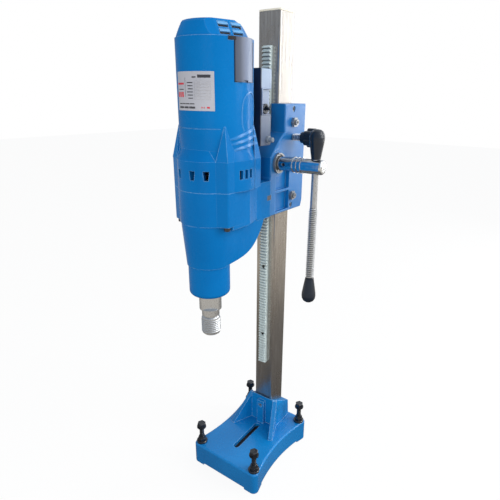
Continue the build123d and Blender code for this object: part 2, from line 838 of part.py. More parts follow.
def build_bearings(name, sizes):
    """Plain ring stand-ins for ball bearings: (axis y, z, height, bore radius, outer radius)."""
    with BuildPart() as rings:
        for y, z, height, r_in, r_out in sizes:
            ring(y, z, height, r_in + 0.03, r_out)
            middle = (r_in + r_out) / 2
            ring(y, z, 0.6, middle - 1.2, middle + 1.2, Mode.SUBTRACT)
            ring(y, z + height - 0.6, 0.6, middle - 1.2, middle + 1.2, Mode.SUBTRACT)
    save(rings.part, name)


def build_spindle_seal():
    with BuildPart() as seal:
        ring(SPINDLE_Y, 447, 6.6, 15.04, 20)
    save(seal.part, "spindle_seal")


def build_layshaft():
    with BuildPart() as layshaft:
        ring(LAY_Y, 557, 58, 0, 4)
        ring(LAY_Y, 565, 43, 0, 6)
        with BuildSketch(turned_plane(LAY_Y, 568)):
            with BuildLine():
                Polyline(*gear_points(1.5, 17, -90), close=True)
            make_face()
        extrude(amount=25)
    save(layshaft.part, "layshaft")


# ---- motor ----
def bay_plan(front, centre_y, x_bay):
    """Front bay between the lobes: an arc about the given centre and straight sides."""
    y_bay = centre_y - sqrt(front * front - x_bay * x_bay)
    with BuildLine() as outline:
        ThreePointArc((-x_bay, y_bay), (0, centre_y - front), (x_bay, y_bay))
        Polyline((x_bay, y_bay), (x_bay, MOTOR_Y), (-x_bay, MOTOR_Y), (-x_bay, y_bay))
    make_face(outline.edges())


def lobe_plan(side, way, size):
    """Wedge shaped lobe; the corners close in on a peak on the barrel as the size falls to 0."""
    if way < 0:
        corners = [(57.3, -211.2), (BAY_X, BAY_Y), (34.0, -200.0), (50.0, -180.0), (57.2, -182.0)]
    else:
        corners = [(56.4, -124.6), (40.0, -117.5), (38.0, -138.0), (61.0, -147.0)]
    peak = Vector(46.4, MOTOR_Y + way * 35.7, 0)
    points = [peak + (Vector(x, y, 0) - peak) * size for x, y in corners]
    points.append(points[0])
    with BuildLine() as outline:
        Polyline(*[(side * p.X, p.Y) for p in points])
    make_face(outline.edges())


def build_motor_housing():
    with BuildPart() as housing:
        ring(MOTOR_Y, SEAM, HOUSING_TOP - SEAM, 0, HOUSING_R)
        # fan chamber: bulged front and lobes over a round back, with a bevelled shoulder
        ring(MOTOR_Y, SEAM, 47, 0, FAN_R)
        with Locations((0, MOTOR_Y, 679)):
            Cone(FAN_R, HOUSING_R, 15, align=(Align.CENTER, Align.CENTER, Align.MIN))
        with BuildSketch(Plane.XY.offset(SEAM)) as chamber:
            front_plan()
            fillet(chamber.vertices().sort_by(Axis.Y)[2:4], 3.5)
        extrude(amount=47)
        with BuildSketch(Plane.XY.offset(679)):
            bay_plan(BAY_R, BAY_FRONT + BAY_R, BAY_X)
        with BuildSketch(Plane.XY.offset(696)):
            bay_plan(HOUSING_R - 0.5, MOTOR_Y, 27.0)
        loft(ruled=True)
        # the lobes run up into a peak on the barrel
        for side in (-1, 1):
            for way in (-1, 1):
                with BuildSketch(Plane.XY.offset(678.5)):
                    lobe_plan(side, way, 1.0)
                with BuildSketch(Plane.XY.offset(729)):
                    lobe_plan(side, way, 0.08)
                loft(ruled=True)
                if way > 0:
                    with BuildSketch(Plane.XY.offset(SEAM)):
                        lobe_plan(side, way, 1.0)
                    extrude(amount=47)
        # inside: fan chamber, barrel, bearing spider
        ring(MOTOR_Y, SEAM, 46, 0, 57, Mode.SUBTRACT)
        ring(MOTOR_Y, SEAM, 250, 0, 54.5, Mode.SUBTRACT)
        ring(MOTOR_Y, 817, 13, 12, 17)
        for angle in (0, 90):
            with Locations((0, MOTOR_Y, 826)):
                Box(111, 8, 8, rotation=(0, 0, angle + 45))
        for angle in (45, 135, 225, 315):
            with Locations(Location((0, MOTOR_Y, 725), (0, 0, angle))):
                with Locations((52.6, 0, 0)):
                    Box(5, 10, 90)
        ring(MOTOR_Y, 820, 12, 0, 13.02, Mode.SUBTRACT)
        ring(MOTOR_Y, 810, 12, 0, 9, Mode.SUBTRACT)
        # parting line round the front of the barrel
        with BuildSketch(turned_plane(MOTOR_Y, 725.6)):
            sector(HOUSING_R - 0.35, HOUSING_R + 1, -141, -44)
        extrude(amount=0.7, mode=Mode.SUBTRACT)
        # vents
        for angle in (-14, -4, 6, 166, 176, 186, 66, 90, 114):
            with Locations(Location((0, MOTOR_Y, 658), (0, 0, angle))):
                with Locations((62, 0, 0)):
                    Box(30, 7.4, 14, mode=Mode.SUBTRACT)
        # front vents, narrower at the foot
        for angle in (-108, -83.2, -64.4):
            tangent = (-sin(radians(angle)), cos(radians(angle)), 0)
            outward = (cos(radians(angle)), sin(radians(angle)), 0)
            with BuildSketch(Plane(origin=(0, MOTOR_Y, 658), x_dir=tangent, z_dir=outward)) as vent:
                Polygon((-4.8, 7), (4.8, 7), (3.3, -7), (-3.3, -7), align=None)
            extrude(vent.sketch, amount=85, mode=Mode.SUBTRACT)
        # recesses and windows under the brush covers
        for centre in (0, 180):
            with BuildSketch(turned_plane(MOTOR_Y, 790.8, centre)):
                sector(56.2, 63, -21, 21)
            extrude(amount=60, mode=Mode.SUBTRACT)
            with BuildSketch(turned_plane(MOTOR_Y, 844.8, centre)):
                sector(56.2, 63, -31, -20)
            extrude(amount=8, mode=Mode.SUBTRACT)
        block(-58, 58, MOTOR_Y - 8, MOTOR_Y + 8, 794, 812, Mode.SUBTRACT)
        with BuildSketch(Plane.XY.offset(SEAM - 1)):
            with Locations(*lobe_places()):
                Circle(3 + RUN)
        extrude(amount=42, mode=Mode.SUBTRACT)
    save(housing.part, "motor_housing")


def build_brush_covers():
    with BuildPart() as covers:
        for centre in (0, 180):
            with BuildSketch(turned_plane(MOTOR_Y, 791, centre)):
                sector(56.4, 59.0, -20.8, 20.8)
                half = radians(20.6)
                with BuildLine() as bulge:
                    ThreePointArc((59 * cos(half), -59 * sin(half)), (61.6, 0), (59 * cos(half), 59 * sin(half)))
                    Line(bulge.line @ 1, bulge.line @ 0)
                make_face()
                Circle(56.4, mode=Mode.SUBTRACT)
            extrude(amount=58.8)
            with Locations(Location((0, MOTOR_Y, 791), (0, 0, centre - 3))):
                with Locations((61, 0, 0)):
                    Box(5, 9, 5, mode=Mode.SUBTRACT)
            with BuildSketch(turned_plane(MOTOR_Y, 845, centre)):
                sector(56.4, 59.7, -30.7, -19)
            extrude(amount=4.8)
    save(covers.part, "brush_covers")


def build_rating_plate():
    with BuildPart() as plate:
        with BuildSketch(turned_plane(MOTOR_Y, 751)):
            sector(HOUSING_R + 0.03, HOUSING_R + 0.45, -118, -51)
        extrude(amount=53)
    save(plate.part, "rating_plate")


LOUVRE_FACES = (-21, 201)
LOUVRE_REACH = 51.4
LOUVRE_LEAN = 30


def build_motor_cap():
    with BuildPart() as cap:
        with BuildSketch(Plane.XZ.offset(-MOTOR_Y)):
            with BuildLine():
                Polyline(
                    (0, HOUSING_TOP),
                    (57.4, HOUSING_TOP),
                    (56.8, 854),
                    (54.6, 861),
                    (51.2, 869),
                    (48.5, 871.6),
                    (46, 872.5),
                    (16, 873),
                    (0, 873),
                    close=True,
                )
            make_face()
        revolve(axis=Axis((0, MOTOR_Y, 0), (0, 0, 1)))
        # louvred faces, the lens faces in front of them and the plain faces behind
        for angle in LOUVRE_FACES:
            facet(angle, LOUVRE_REACH, LOUVRE_LEAN)
        for angle in (-36, 216):
            facet(angle, 55.0, 28)
        for angle in (26, 154):
            facet(angle, 48.7, 31)
        with BuildSketch(Plane.XZ.offset(-MOTOR_Y)):
            with BuildLine():
                Polyline((0, 849), (45.2, 849), (44.8, 853), (36, 863.5), (31, 867.5), (12, 869.5), (0, 869.5), close=True)
            make_face()
        revolve(axis=Axis((0, MOTOR_Y, 0), (0, 0, 1)), mode=Mode.SUBTRACT)
        for angle in LOUVRE_FACES:
            way = 1 if angle < 0 else -1
            for across in (-9.4 * way, 12.2 * way):
                for up in (6.8, 18.0):
                    louvre(angle, LOUVRE_REACH, LOUVRE_LEAN, across, up)
    save(cap.part, "motor_cap")


def face_frame(angle, reach, lean):
    """Location on a leaning cap face: X outwards, Y across, Z up the slope from the cap's foot."""
    return Location((0, MOTOR_Y, HOUSING_TOP), (0, 0, angle)) * Location((reach, 0, 0), (0, -lean, 0))


def louvre(angle, reach, lean, across, up):
    """Shallow window with an open slot along its lower edge."""
    with Locations(face_frame(angle, reach, lean)):
        with Locations((0, across, up)):
            Box(3.0, 17.0, 9.0, mode=Mode.SUBTRACT)
        with Locations((-4, across, up - 2.6)):
            Box(14.0, 15.6, 3.4, mode=Mode.SUBTRACT)


def facet(angle, reach, lean):
    """Slice a flat leaning face off the cap."""
    with Locations(face_frame(angle, reach, lean)):
        Box(40, 140, 140, align=(Align.MIN, Align.CENTER, Align.CENTER), mode=Mode.SUBTRACT)


def build_armature_shaft():
    with BuildPart() as shaft:
        ring(MOTOR_Y, 610, 209, 0, 6)
        ring(MOTOR_Y, 819, 10, 0, 5)
        with BuildSketch(turned_plane(MOTOR_Y, 594.5)):
            with BuildLine():
                Polyline(*gear_points(1.0, 12, 90), close=True)
            make_face()
        extrude(amount=16)
    save(shaft.part, "armature_shaft")


def build_armature_core():
    with BuildPart() as core:
        ring(MOTOR_Y, 684, 82, 6.03, 29)
        with BuildSketch(Plane.XY.offset(684)):
            with Locations((0, MOTOR_Y)):
                with PolarLocations(25.5, 16):
                    Rectangle(8, 2.4)
        extrude(amount=82, mode=Mode.SUBTRACT)
    save(core.part, "armature_core")


def build_armature_windings():
    with BuildPart() as windings:
        ring(MOTOR_Y, 673, 11, 8, 26)
        ring(MOTOR_Y, 766, 11, 8, 26)
        with BuildSketch(Plane.XY.offset(684)):
            with Locations((0, MOTOR_Y)):
                with PolarLocations(24.2, 16):
                    Rectangle(4.8, 2.2)
        extrude(amount=82)
    save(windings.part, "armature_windings")


def build_commutator():
    with BuildPart() as commutator:
        ring(MOTOR_Y, 786, 26, 6.03, 17)
        with BuildSketch(Plane.XY.offset(788)):
            with Locations((0, MOTOR_Y)):
                with PolarLocations(16.5, 24):
                    Rectangle(2, 0.6)
        extrude(amount=24, mode=Mode.SUBTRACT)
    save(commutator.part, "commutator")


def build_motor_fan():
    with BuildPart() as fan:
        ring(MOTOR_Y, 640, 3, 6.03, 50)
        ring(MOTOR_Y, 640, 20, 6.03, 11)
        with BuildSketch(Plane.XY.offset(643)):
            with Locations((0, MOTOR_Y)):
                with PolarLocations(35, 9):
                    Rectangle(28, 1.8)
        extrude(amount=12)
    save(fan.part, "motor_fan")


def build_stator():
    with BuildPart() as core:
        ring(MOTOR_Y, 683, 84, 30, 50)
        for side in (-1, 1):
            block(side * 40 - 6, side * 40 + 6, MOTOR_Y - 2, MOTOR_Y + 2, 680, 770, Mode.SUBTRACT)
    save(core.part, "stator_core")
    with BuildPart() as coils:
        for z in (671, 767):
            for centre in (0, 180):
                with BuildSketch(turned_plane(MOTOR_Y, z, centre)):
                    sector(32, 46, -68, 68)
                extrude(amount=12)
    save(coils.part, "stator_coils")


def build_brush_gear():
    with BuildPart() as holders:
        for side in (-1, 1):
            x0, x1 = sorted((side * 20, side * 54))
            block(x0, x1, MOTOR_Y - 7, MOTOR_Y + 7, 795, 811)
            x0, x1 = sorted((side * 19, side * 50))
            block(x0, x1, MOTOR_Y - 4.05, MOTOR_Y + 4.05, 797.95, 808.05, Mode.SUBTRACT)
    save(holders.part, "brush_holders")
    with BuildPart() as brushes:
        for side in (-1, 1):
            x0, x1 = sorted((side * 17.1, side * 36))
            block(x0, x1, MOTOR_Y - 4, MOTOR_Y + 4, 798, 808)
    save(brushes.part, "carbon_brushes")


# ---- switch box behind the motor ----
def build_switch_box():
    with BuildPart() as box:
        block(-38, 38, -98.5, -70, 693, 815)
        fillet(box.edges().filter_by(Axis.Y), 2)
        block(-35, 35, -100, -73, 696, 812, Mode.SUBTRACT)
        # recessed switch panel in the right cheek
        block(31, 40, -98.5, -73, 743, 785)
        block(34, 40, -96, -69, 744.5, 783.5, Mode.SUBTRACT)
        x_rod(-83, 753, 28, 40, 4.05, Mode.SUBTRACT)
        x_rod(-79, 703, 30, 40, 5.05, Mode.SUBTRACT)
    save(box.part, "switch_box")


def build_switch_cover():
    with BuildPart() as cover:
        block(-38, 38, -101, -98.5, 693, 815)
        fillet(cover.edges().filter_by(Axis.Y), 2)
    save(cover.part, "switch_cover")


def build_switch_spacers():
    with BuildPart() as spacers:
        for z in (712, 800):
            y_rod(0, z, -109.2, -101, 7)
    save(spacers.part, "switch_spacers")


def build_toggle():
    with BuildPart() as bezel:
        x_rod(-83, 753, 30.8, 34, 4)
        x_rod(-83, 753, 34, 37, 8)
        x_rod(-83, 753, 29, 38, 2.9, Mode.SUBTRACT)
        with Locations((36.2, -83, 753)):
            Cone(2.9, 5.4, 1.8, rotation=(0, 90, 0), mode=Mode.SUBTRACT)
        # pivot pin of the lever
        y_rod(33, 753, -86.4, -79.6, 0.7)
    save(bezel.part, "toggle_bezel")
    with BuildPart() as toggle:
        with BuildSketch(Plane.XZ.offset(83)):
            with BuildLine():
                ThreePointArc((30.6, 754), (31.162, 754.838), (33, 755.6))
                Polyline((33, 755.6), (34.2, 755.2), (35.2, 754.7), (42.6, 755.6))
                ThreePointArc((42.6, 755.6), (44.5, 755.1), (45.3, 754))
                Polyline((45.3, 754), (45.3, 753), (30.6, 753), (30.6, 754))
            make_face()
        revolve(axis=Axis((0, -83, 753), (1, 0, 0)))
        y_rod(33, 753, -90, -76, 0.75, Mode.SUBTRACT)
    save(toggle.part, "switch_toggle")


def build_cable_gland():
    with BuildPart() as gland:
        x_rod(-79, 703, 32, 38, 5)
        with BuildSketch(Plane.YZ.offset(38)):
            with Locations((-79, 703)):
                RegularPolygon(7, 6)
        extrude(amount=4)
        x_rod(-79, 703, 42, 50, 4.2)
        fillet(gland.edges().sort_by(Axis.X)[-1], 1.5)
    save(gland.part, "cable_gland")


if __name__ == "__main__":
    build_base()
    build_socket_screw()
    build_column()
    build_column_cap()
    build_rack()
    build_rack_screws()
    for tag, (bx, by) in zip(("fl", "fr", "br", "bl"), bolt_places()):
        build_levelling_bolt(f"levelling_bolt_{tag}", bx, by)
    build_jam_nuts()
    build_carriage()
    build_guide_pads()
    build_pad_screws()
    build_pad_nuts()
    build_flange_key()
    build_feed_bushes()
    build_feed_shaft()
    build_feed_ring()
    build_feed_hub()
    build_hub_screw()
    build_feed_bar()
    build_bar_grips()
    build_lock_stud()
    build_lock_knob()
    build_lock_pad()
    build_gearbox()
    build_gearbox_cover()
    socket_screws("gearbox_screws", lobe_places(), 571.5, 84, 6.4, 3, 5)
    build_mount_bolts()
    build_spindle()
    build_spindle_key()
    spur_gear("spindle_gear", SPINDLE_Y, 570, 20, 1.5, 49, 90 + 180 / 49, 13.03, key=True, web=(19, 31))
    build_bearings("spindle_bearings", [(SPINDLE_Y, 454, 15, 12.5, 26), (SPINDLE_Y, 601, 9, 7.5, 16)])
    build_spindle_seal()
    build_layshaft()
    spur_gear("layshaft_gear", LAY_Y, 596, 11.5, 1.0, 32, -90 + 180 / 32, 6.03, addendum=0.78)
    build_bearings("layshaft_bearings", [(LAY_Y, 557, 7, 4, 11), (LAY_Y, 608.6, 6.8, 4, 11)])
    build_motor_housing()
    build_brush_covers()
    build_rating_plate()
    build_motor_cap()
    build_armature_shaft()
    build_armature_core()
    build_armature_windings()
    build_commutator()
    build_motor_fan()
    build_bearings("motor_bearings", [(MOTOR_Y, 618, 8, 6, 14), (MOTOR_Y, 820, 8, 5, 13)])
    build_stator()
    build_brush_gear()
    build_switch_box()
    build_switch_cover()
    build_switch_spacers()
    build_toggle()
    build_cable_gland()
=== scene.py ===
import json
import math

import bpy
from mathutils import Matrix, Vector
from mathutils.bvhtree import BVHTree


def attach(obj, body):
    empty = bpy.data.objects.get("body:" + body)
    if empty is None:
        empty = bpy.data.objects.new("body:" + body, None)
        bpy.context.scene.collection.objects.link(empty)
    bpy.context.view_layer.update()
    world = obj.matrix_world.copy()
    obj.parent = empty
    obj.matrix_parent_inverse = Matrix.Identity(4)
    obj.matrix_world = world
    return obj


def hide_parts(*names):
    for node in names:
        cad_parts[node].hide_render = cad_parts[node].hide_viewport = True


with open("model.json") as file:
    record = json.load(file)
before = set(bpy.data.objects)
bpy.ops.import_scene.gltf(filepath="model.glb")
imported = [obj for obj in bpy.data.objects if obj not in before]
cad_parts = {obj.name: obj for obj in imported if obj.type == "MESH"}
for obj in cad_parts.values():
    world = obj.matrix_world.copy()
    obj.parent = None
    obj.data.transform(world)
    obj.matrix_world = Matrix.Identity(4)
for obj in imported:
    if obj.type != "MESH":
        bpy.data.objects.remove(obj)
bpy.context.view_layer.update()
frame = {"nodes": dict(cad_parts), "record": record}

# ---- places shared with the CAD model, in metres ----
MOTOR = Vector((0.0, -0.168, 0.0))
SPINDLE = Vector((0.0, -0.1955, 0.0))
FEED = Vector((0.0, -0.049, 0.6605))
BAR_X = 0.118
BARREL_R = 0.0587
CAP_FOOT = 0.850
LOCK_Z = 0.703
SLOT_Y = -0.0855

# ---- camera: place in metres, angles in degrees, lens in millimetres ----
CAM_AT = Vector((0.4718, -0.72014, 0.77068))
CAM_TURN = 34.18
CAM_TILT = 20.648
CAM_ROLL = 0.908
CAM_LENS = 31.31
CAM_SHIFT = (-0.0295, 0.0227)


# ---------------------------------------------------------------- materials
class Nodes:
    """Small helper that adds shader nodes and links."""

    def __init__(self, name):
        self.mat = bpy.data.materials.new(name)
        self.mat.use_nodes = True
        self.tree = self.mat.node_tree
        self.tree.nodes.clear()
        self.out = self.add("ShaderNodeOutputMaterial")
        self.bsdf = self.add("ShaderNodeBsdfPrincipled")
        self.link(self.bsdf, 0, self.out, 0)

    def add(self, kind, **props):
        node = self.tree.nodes.new(kind)
        for key, value in props.items():
            setattr(node, key, value)
        return node

    def link(self, a, out, b, inp):
        self.tree.links.new(a.outputs[out], b.inputs[inp])

    def put(self, node, inp, value):
        node.inputs[inp].default_value = value

    def coords(self, scale=(1, 1, 1)):
        tex = self.add("ShaderNodeTexCoord")
        mapping = self.add("ShaderNodeMapping")
        self.put(mapping, "Scale", scale)
        self.link(tex, "Object", mapping, "Vector")
        return mapping

    def noise(self, scale, detail=3.0, rough=0.5, stretch=(1, 1, 1)):
        mapping = self.coords(stretch)
        node = self.add("ShaderNodeTexNoise")
        self.put(node, "Scale", scale)
        self.put(node, "Detail", detail)
        self.put(node, "Roughness", rough)
        self.link(mapping, 0, node, "Vector")
        return node

    def ramp(self, source, out, stops):
        node = self.add("ShaderNodeValToRGB")
        elements = node.color_ramp.elements
        while len(elements) < len(stops):
            elements.new(0.5)
        for element, (pos, colour) in zip(elements, stops):
            element.position = pos
            element.color = (*colour, 1.0)
        self.link(source, out, node, "Fac")
        return node

    def span(self, source, out, lo, hi, a=0.0, b=1.0):
        node = self.add("ShaderNodeMapRange")
        self.put(node, "From Min", lo)
        self.put(node, "From Max", hi)
        self.put(node, "To Min", a)
        self.put(node, "To Max", b)
        self.link(source, out, node, "Value")
        return node

    def math(self, op, a, b=None, b_out=0):
        node = self.add("ShaderNodeMath", operation=op)
        for index, (value, out) in enumerate(((a, 0), (b, b_out))):
            if value is None:
                continue
            if isinstance(value, (int, float)):
                node.inputs[index].default_value = value
            else:
                self.link(value, out, node, index)
        return node

    def bump(self, source, out, strength, distance, normal=None):
        node = self.add("ShaderNodeBump")
        self.put(node, "Strength", strength)
        self.put(node, "Distance", distance)
        self.link(source, out, node, "Height")
        if normal is not None:
            self.link(normal, 0, node, "Normal")
        self.link(node, 0, self.bsdf, "Normal")
        return node

    def mix(self, factor, base, colour):
        """Colour mix; base is a node and colour an RGB triple."""
        node = self.add("ShaderNodeMix", data_type="RGBA")
        self.tree.links.new(factor.outputs[0], node.inputs[0])
        self.tree.links.new(base.outputs[0], node.inputs[6])
        node.inputs[7].default_value = (*colour, 1.0)
        return node

    def edge_mask(self, radius):
        """1 on edges, 0 on flats, from the difference of a rounded normal."""
        bevel = self.add("ShaderNodeBevel", samples=6)
        self.put(bevel, "Radius", radius)
        geo = self.add("ShaderNodeNewGeometry")
        dot = self.add("ShaderNodeVectorMath", operation="DOT_PRODUCT")
        self.link(bevel, 0, dot, 0)
        self.link(geo, "Normal", dot, 1)
        return self.span(dot, "Value", 1.0, 0.8, 0.0, 1.0)

    def rounded(self, radius):
        """Normal that looks rounded over the given radius at every edge."""
        bevel = self.add("ShaderNodeBevel", samples=4)
        self.put(bevel, "Radius", radius)
        return bevel


def paint(name, dark, light, highlight_colour, rough=0.28, coat=0.1, texture=0.25, grain=900.0, radius=0.0012, spec=0.05):
    """Gloss paint with a faint cloudiness, orange peel and painted highlights along the edges."""
    n = Nodes(name)
    broad = n.noise(9.0, 4.0)
    tone = n.ramp(broad, "Fac", [(0.3, dark), (0.7, light)])
    # painted highlight: a light colour mixed into the paint along the edges, broken up by noise
    edge = n.edge_mask(radius * 1.1)
    speck = n.noise(160.0, 3.0)
    edge_highlight = n.math("MULTIPLY", edge, n.span(speck, "Fac", 0.25, 0.6, 0.25, 1.0))
    mix = n.mix(n.math("MULTIPLY", edge_highlight, 0.75), tone, highlight_colour)
    n.tree.links.new(mix.outputs[2], n.bsdf.inputs["Base Color"])
    smear = n.noise(35.0, 5.0, 0.6)
    gloss = n.span(smear, "Fac", 0.3, 0.7, rough - 0.06, rough + 0.08)
    n.link(gloss, 0, n.bsdf, "Roughness")
    n.put(n.bsdf, "Coat Weight", coat)
    n.put(n.bsdf, "Coat Roughness", 0.12)
    n.put(n.bsdf, "Specular IOR Level", spec)
    peel = n.noise(grain, 2.0)
    bevel = n.rounded(radius)
    n.bump(peel, "Fac", texture, 0.0004, bevel)
    return n.mat


def metal(
    name, dark, light, rough=0.3, stretch=(1, 1, 1), scale=400.0, strength=0.15, metallic=1.0, flanks=False
):
    """Plated or bare steel; flanks paints shade on the faces that look down, such as the underside of teeth.
    """
    n = Nodes(name)
    n.put(n.bsdf, "Metallic", metallic)
    n.put(n.bsdf, "Specular Tint", (0.42, 0.45, 0.50, 1))
    streak = n.noise(scale, 4.0, 0.65, stretch)
    tone = n.ramp(streak, "Fac", [(0.3, dark), (0.7, light)])
    if flanks:
        # painted shade: faces that look down are darkened towards near black
        facing = n.add("ShaderNodeNewGeometry")
        split = n.add("ShaderNodeSeparateXYZ")
        n.link(facing, "Normal", split, 0)
        shade = n.span(split, "Z", -0.15, -0.6, 0.0, 0.92)
        mix = n.mix(shade, tone, (0.05, 0.055, 0.06))
        n.tree.links.new(mix.outputs[2], n.bsdf.inputs["Base Color"])
    else:
        n.link(tone, 0, n.bsdf, "Base Color")
    gloss = n.span(streak, "Fac", 0.3, 0.7, rough - 0.08, rough + 0.1)
    n.link(gloss, 0, n.bsdf, "Roughness")
    bevel = n.rounded(0.0005)
    n.bump(streak, "Fac", strength, 0.0003, bevel)
    return n.mat


def plastic(name, dark, light, rough=0.45, grain=1200.0, strength=0.2, radius=0.0008):
    """Moulded plastic with a faint cloudiness and a fine grain."""
    n = Nodes(name)
    cloud = n.noise(25.0, 4.0)
    tone = n.ramp(cloud, "Fac", [(0.3, dark), (0.7, light)])
    n.link(tone, 0, n.bsdf, "Base Color")
    gloss = n.span(cloud, "Fac", 0.3, 0.7, rough - 0.06, rough + 0.08)
    n.link(gloss, 0, n.bsdf, "Roughness")
    fine = n.noise(grain, 2.0)
    bevel = n.rounded(radius)
    n.bump(fine, "Fac", strength, 0.0003, bevel)
    return n.mat


def column_material():
    """Drawn steel: long streaks down the tube, mottled stains, a few rust specks and painted shade along the
    edges.
    """
    n = Nodes("column_brushed_steel")
    n.put(n.bsdf, "Metallic", 0.93)
    streak = n.noise(60.0, 6.0, 0.6, (9.0, 9.0, 0.35))
    greys = [(0.25, (0.34, 0.325, 0.305)), (0.5, (0.46, 0.44, 0.42)), (0.8, (0.60, 0.585, 0.56))]
    tone = n.ramp(streak, "Fac", greys)
    cloud = n.noise(14.0, 5.0, 0.6, (1, 1, 0.5))
    stain = n.ramp(cloud, "Fac", [(0.42, (1.0, 1.0, 1.0)), (0.75, (0.70, 0.65, 0.59))])
    mix = n.add("ShaderNodeMix", data_type="RGBA", blend_type="MULTIPLY")
    mix.inputs[0].default_value = 0.8
    n.tree.links.new(tone.outputs[0], mix.inputs[6])
    n.tree.links.new(stain.outputs[0], mix.inputs[7])
    speck = n.noise(240.0, 2.0, 0.5)
    rust = n.add("ShaderNodeMix", data_type="RGBA")
    n.link(n.span(speck, "Fac", 0.72, 0.78, 0.0, 0.8), 0, rust, 0)
    n.tree.links.new(mix.outputs[2], rust.inputs[6])
    rust.inputs[7].default_value = (0.12, 0.06, 0.03, 1.0)
    # painted shade: base colour darkened along the edges so they read as thin dark lines
    edge = n.add("ShaderNodeMix", data_type="RGBA")
    n.link(n.math("MULTIPLY", n.edge_mask(0.0022), 0.8), 0, edge, 0)
    n.tree.links.new(rust.outputs[2], edge.inputs[6])
    edge.inputs[7].default_value = (0.16, 0.15, 0.135, 1.0)
    n.tree.links.new(edge.outputs[2], n.bsdf.inputs["Base Color"])
    n.put(n.bsdf, "Specular Tint", (0.5, 0.5, 0.5, 1))
    gloss = n.span(cloud, "Fac", 0.3, 0.7, 0.17, 0.33)
    n.link(gloss, 0, n.bsdf, "Roughness")
    bevel = n.rounded(0.0006)
    n.bump(streak, "Fac", 0.12, 0.0003, bevel)
    return n.mat


def brush_cover_material():
    """Satin grey moulding with painted shade: darker on the side turned to the front, lighter on the side
    turned to the back.
    """
    n = Nodes("brush_cover_grey")
    # painted shade: the grey is darkened by how far the face turns towards the front
    facing = n.add("ShaderNodeNewGeometry")
    split = n.add("ShaderNodeSeparateXYZ")
    n.link(facing, "Normal", split, 0)
    cloud = n.noise(25.0, 4.0)
    turn = n.math("ADD", n.span(split, "Y", -0.36, 0.12), n.span(cloud, "Fac", 0.3, 0.7, -0.05, 0.05))
    greys = [(0.0, (0.055, 0.07, 0.11)), (0.5, (0.125, 0.16, 0.25)), (1.0, (0.175, 0.225, 0.34))]
    tone = n.ramp(turn, 0, greys)
    n.link(tone, 0, n.bsdf, "Base Color")
    n.link(n.span(cloud, "Fac", 0.3, 0.7, 0.36, 0.5), 0, n.bsdf, "Roughness")
    n.bump(n.noise(1200.0, 2.0), "Fac", 0.2, 0.0003, n.rounded(0.0008))
    return n.mat


def bolt_material():
    """Black bolt with a fine thread, as bump only, on the shank below the head."""
    n = Nodes("bolt_black")
    cloud = n.noise(90.0, 4.0)
    tone = n.ramp(cloud, "Fac", [(0.3, (0.003, 0.005, 0.009)), (0.7, (0.009, 0.012, 0.018))])
    n.link(tone, 0, n.bsdf, "Base Color")
    n.link(n.span(cloud, "Fac", 0.3, 0.7, 0.18, 0.32), 0, n.bsdf, "Roughness")
    n.put(n.bsdf, "Coat Weight", 0.5)
    n.put(n.bsdf, "Coat Roughness", 0.1)
    turns = n.add("ShaderNodeTexWave", wave_type="BANDS", bands_direction="Z")
    n.put(turns, "Scale", 180.0)
    place = n.coords()
    n.link(place, 0, turns, "Vector")
    split = n.add("ShaderNodeSeparateXYZ")
    n.link(place, 0, split, 0)
    shank = n.math("MULTIPLY", n.span(split, "Z", 0.0879, 0.0877), turns, b_out="Fac")
    n.bump(shank, 0, 0.9, 0.0009, n.rounded(0.0006))
    return n.mat


def switch_box_material():
    """Grey moulding with painted shade: paler towards its top, darker towards its foot."""
    n = Nodes("switch_box_grey")
    place = n.coords()
    split = n.add("ShaderNodeSeparateXYZ")
    n.link(place, 0, split, 0)
    cloud = n.noise(25.0, 4.0)
    # painted shade: the grey is graded by height
    level = n.span(split, "Z", 0.735, 0.805)
    height = n.math("ADD", level, n.span(cloud, "Fac", 0.3, 0.7, -0.06, 0.06))
    greys = [(0.0, (0.10, 0.135, 0.21)), (0.45, (0.20, 0.26, 0.39)), (1.0, (0.27, 0.36, 0.50))]
    tone = n.ramp(height, 0, greys)
    n.link(tone, 0, n.bsdf, "Base Color")
    n.link(n.span(cloud, "Fac", 0.3, 0.7, 0.32, 0.46), 0, n.bsdf, "Roughness")
    n.bump(n.noise(1200.0, 2.0), "Fac", 0.2, 0.0003, n.rounded(0.0008))
    return n.mat


BLUE_DARK = (0.0010, 0.122, 0.375)
BLUE_LIGHT = (0.0018, 0.158, 0.455)
# painted highlight colour for the edges of the blue paint
BLUE_EDGE_HIGHLIGHT = (0.30, 0.56, 0.85)

